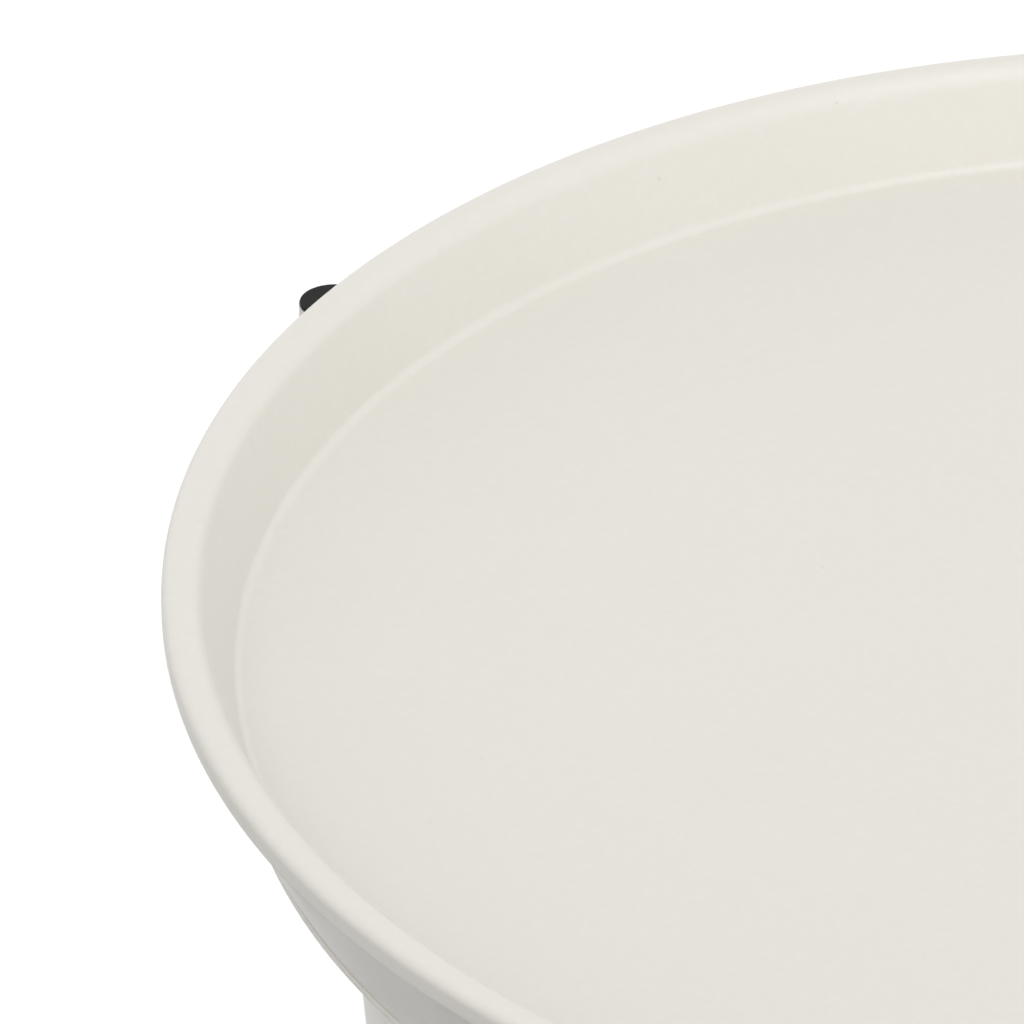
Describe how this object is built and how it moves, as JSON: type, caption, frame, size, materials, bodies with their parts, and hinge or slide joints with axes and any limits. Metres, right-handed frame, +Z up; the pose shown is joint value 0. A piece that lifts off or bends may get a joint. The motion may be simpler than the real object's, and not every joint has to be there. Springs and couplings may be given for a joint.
{
  "type": "pedal bin",
  "caption": "Round tapered steel pedal bin with a dished, rimmed lid that a foot lever lifts through a rod behind the body, and a lift-out bucket with a bail.",
  "frame": {"origin": "centre of the base on the floor, on the axis of the body", "axes": "+Z up, +Y towards the lid's hinge at the back, -Y towards the pedal at the front"},
  "size_m": [0.3, 0.329, 0.4],
  "materials": {
    "cream_paint": "glossy cream powder coat with a very fine grain",
    "black_plastic": "satin black moulded plastic",
    "cap_plastic": "smooth black plastic with a soft sheen",
    "bucket_plastic": "dark grey moulded plastic",
    "rubber": "matt black rubber",
    "steel": "bright zinc-plated steel",
    "bush_plastic": "natural nylon"
  },
  "bodies": {
    "body": {"outer_body": "cream_paint", "base_ring": "black_plastic", "floor_plate": "steel", "rubber_feet": "rubber", "lever_saddle": "steel", "saddle_rivets": "steel", "lever_pin": "steel", "lever_clip": "steel", "hinge_bracket": "cream_paint", "bracket_rivets": "steel", "post_caps": "cap_plastic", "hinge_pin": "steel", "hinge_clip": "steel", "hinge_bushes": "bush_plastic", "rod_guides": "black_plastic", "guide_rivets": "steel", "bucket": "bucket_plastic"},
    "lid": {"lid_shell": "cream_paint", "lid_seal": "rubber", "lid_bracket": "cream_paint"},
    "rod": {"lift_rod": "steel", "rod_clips": "steel"},
    "pedal": {"pedal_lever": "steel", "pedal_plate": "cream_paint", "pedal_pad": "rubber"},
    "bail": {"bail_handle": "steel", "bail_grip": "black_plastic"}
  },
  "joints": [
    {"name": "lid_hinge", "type": "hinge", "parent": "body", "child": "lid", "pos_m": [0, 0.1589, 0.374], "axis": [-1, 0, 0], "range_deg": [0, 76]},
    {"name": "rod_lift", "type": "slide", "parent": "body", "child": "rod", "axis": [0, 0.0999, 0.995], "range_m": [0, 0.02099]},
    {"name": "pedal_press", "type": "hinge", "parent": "body", "child": "pedal", "pos_m": [0, 0, 0.022], "axis": [1, 0, 0], "range_deg": [0, 10.91]},
    {"name": "bail_swing", "type": "hinge", "parent": "body", "child": "bail", "pos_m": [0, 0, 0.371], "axis": [-1, 0, 0], "range_deg": [0, 3]}
  ],
  "couplings": [
    {"joint": "rod_lift", "follows": "lid_hinge", "m_per_rad": 0.015809},
    {"joint": "pedal_press", "follows": "lid_hinge", "ratio": 0.14349}
  ]
}
